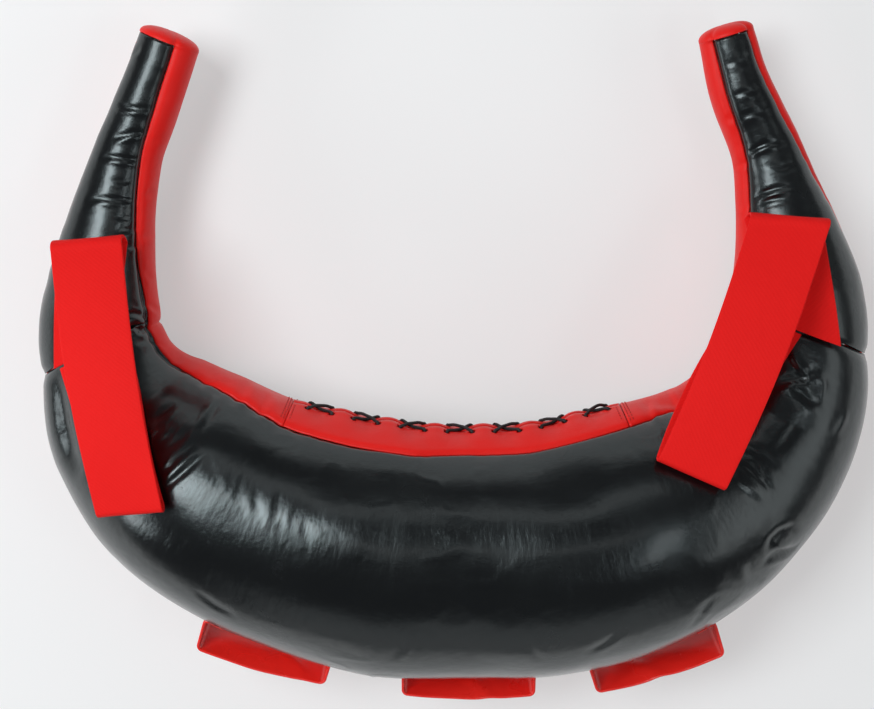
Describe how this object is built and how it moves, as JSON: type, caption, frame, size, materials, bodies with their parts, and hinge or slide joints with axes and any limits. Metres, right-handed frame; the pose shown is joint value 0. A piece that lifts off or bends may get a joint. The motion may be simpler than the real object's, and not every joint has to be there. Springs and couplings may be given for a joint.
{
  "type": "sandbag trainer",
  "caption": "Crescent training bag of coated cloth filled with sand, with two stuffed horns to grip, hand straps, base loops and a laced placket on its inner edge.",
  "frame": {"origin": "on the flat of the back panel, under the middle of the body", "axes": "+X from the left horn to the right horn, +Y from the body towards the horn tips, +Z from the back panel to the front panel"},
  "size_m": [0.5804, 0.4728, 0.1712],
  "materials": {
    "black_skin": "glossy coated cloth with soft creases",
    "red_skin": "semi-gloss coated cloth",
    "tongue_lining": "matt inner side of coated cloth",
    "lace_cord": "braided cord",
    "red_webbing": "woven webbing",
    "liner_cloth": "plain woven cloth",
    "fibre": "packed fibre"
  },
  "bodies": {
    "bag": {"front_body_panel": "black_skin", "back_body_panel": "black_skin", "front_horn_panel_left": "black_skin", "front_horn_panel_right": "black_skin", "back_horn_panel_left": "black_skin", "back_horn_panel_right": "black_skin", "gusset_strip_left": "red_skin", "gusset_strip_right": "red_skin", "outer_body_strip": "red_skin", "placket_flap_front": "red_skin", "placket_flap_back": "red_skin", "placket_tongue": "tongue_lining", "lace": "lace_cord", "sand_liner": "liner_cloth", "horn_stuffing_left": "fibre", "horn_stuffing_right": "fibre"},
    "hand_strap_left": {"hand_strap_left": "red_webbing"},
    "hand_strap_right": {"hand_strap_right": "red_webbing"},
    "base_loop_left": {"base_loop_left": "red_webbing"},
    "base_loop_centre": {"base_loop_centre": "red_webbing"},
    "base_loop_right": {"base_loop_right": "red_webbing"}
  },
  "joints": [
    {"name": "hand_strap_left_lift", "type": "hinge", "parent": "bag", "child": "hand_strap_left", "pos_m": [-0.24858, 0.14492, 0.09504], "axis": [-0.8801, -0.4747, 0], "range_deg": [0, 8], "stiffness_Nm_per_rad": 2},
    {"name": "hand_strap_right_lift", "type": "hinge", "parent": "bag", "child": "hand_strap_right", "pos_m": [0.22273, 0.1624, 0.09325], "axis": [-0.938, 0.3467, 0], "range_deg": [0, 8], "stiffness_Nm_per_rad": 2},
    {"name": "base_loop_left_tilt", "type": "hinge", "parent": "bag", "child": "base_loop_left", "pos_m": [-0.13244, -0.06547, 0.06747], "axis": [0.959, -0.2834, 0], "range_deg": [-6, 6], "stiffness_Nm_per_rad": 0.5},
    {"name": "base_loop_centre_tilt", "type": "hinge", "parent": "bag", "child": "base_loop_centre", "pos_m": [0.00998, -0.09069, 0.06907], "axis": [1, -0.0061, 0], "range_deg": [-6, 6], "stiffness_Nm_per_rad": 0.5},
    {"name": "base_loop_right_tilt", "type": "hinge", "parent": "bag", "child": "base_loop_right", "pos_m": [0.1399, -0.06903, 0.06824], "axis": [0.9517, 0.307, 0], "range_deg": [-6, 6], "stiffness_Nm_per_rad": 0.5}
  ]
}
